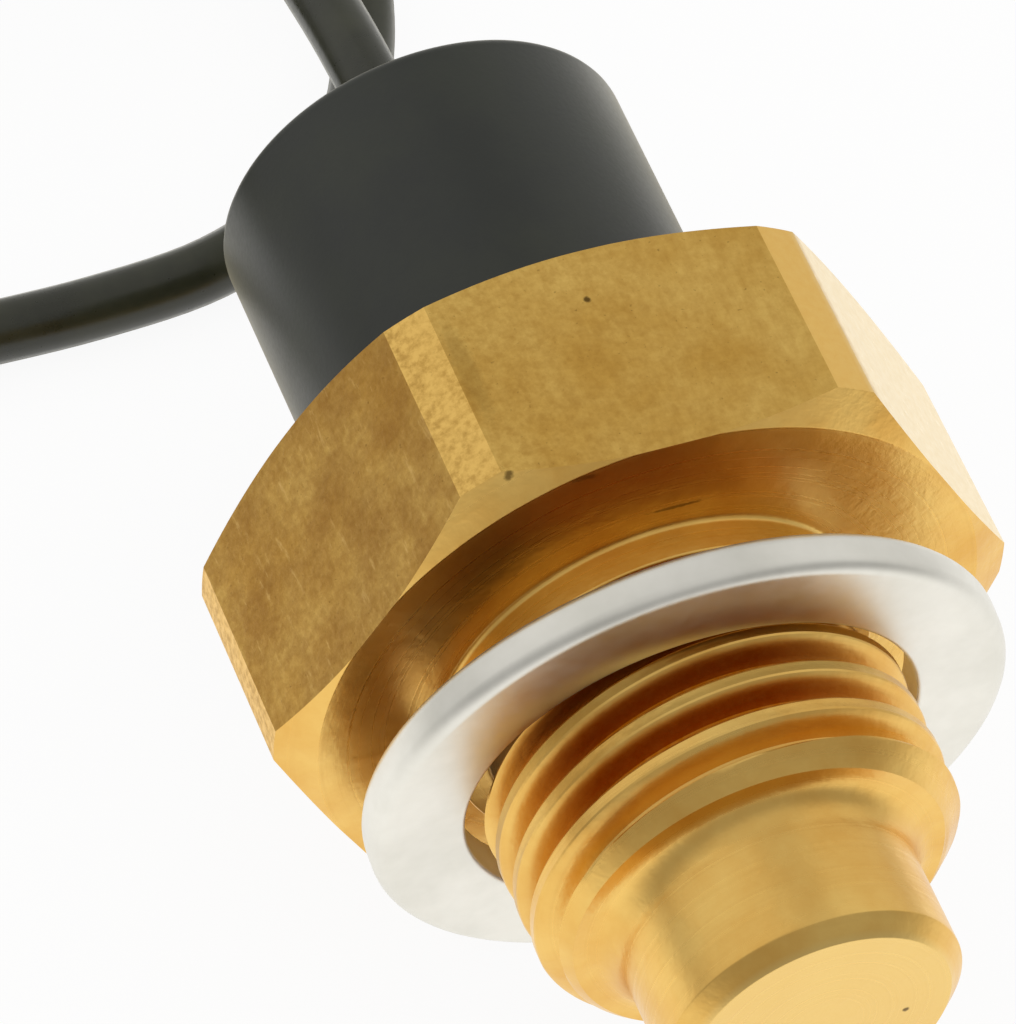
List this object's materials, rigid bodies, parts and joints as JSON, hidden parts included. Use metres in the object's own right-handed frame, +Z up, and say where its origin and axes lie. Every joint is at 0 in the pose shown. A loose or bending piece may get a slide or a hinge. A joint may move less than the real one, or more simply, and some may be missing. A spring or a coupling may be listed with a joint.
{
  "type": "coolant temperature sensor",
  "caption": "Threaded brass coolant temperature sensor with a hexagon, loose sealing washer, round moulded cap and one lead ending in a bullet terminal.",
  "frame": {"origin": "on the surface the sensor lies on, under the middle of its length, measured without the lead", "axes": "+Z up; the sensor's axis lies along Y, its threaded tip points to -Y and its lead leaves the cap along +Y"},
  "size_m": [0.0491, 0.0764, 0.022],
  "materials": {
    "brass_body": "turned brass, dulled on the hexagon",
    "sealing_washer": "satin, rounded edge",
    "end_cap": "moulded, fine grain",
    "thermistor_disc": "sintered ceramic, plain",
    "contact_metal": "plain, as turned or stamped",
    "contact_spring": "drawn wire",
    "insulating_sleeve": "plain",
    "insulating_bush": "plain",
    "bush_seal": "plain",
    "crimp_ferrule": "tinned",
    "lead_core": "bright copper",
    "potting_resin": "cast",
    "lead_plastic": "smooth extruded jacket",
    "coil_tie": "plain strap",
    "bullet_terminal": "tinned",
    "terminal_boot": "soft sleeve"
  },
  "bodies": {
    "root": {"brass_body": "brass_body", "sealing_washer": "sealing_washer", "end_cap": "end_cap", "thermistor_disc": "thermistor_disc", "contact_plate": "contact_metal", "centre_pin": "contact_metal", "contact_spring": "contact_spring", "insulating_sleeve": "insulating_sleeve", "insulating_bush": "insulating_bush", "bush_seal": "bush_seal", "crimp_ferrule": "crimp_ferrule", "lead_core": "lead_core", "potting_resin": "potting_resin", "lead_tube": "lead_plastic", "lead_coil": "lead_plastic", "lead_tail": "lead_plastic", "coil_tie": "coil_tie", "bullet_terminal": "bullet_terminal", "terminal_boot": "terminal_boot"}
  },
  "joints": []
}
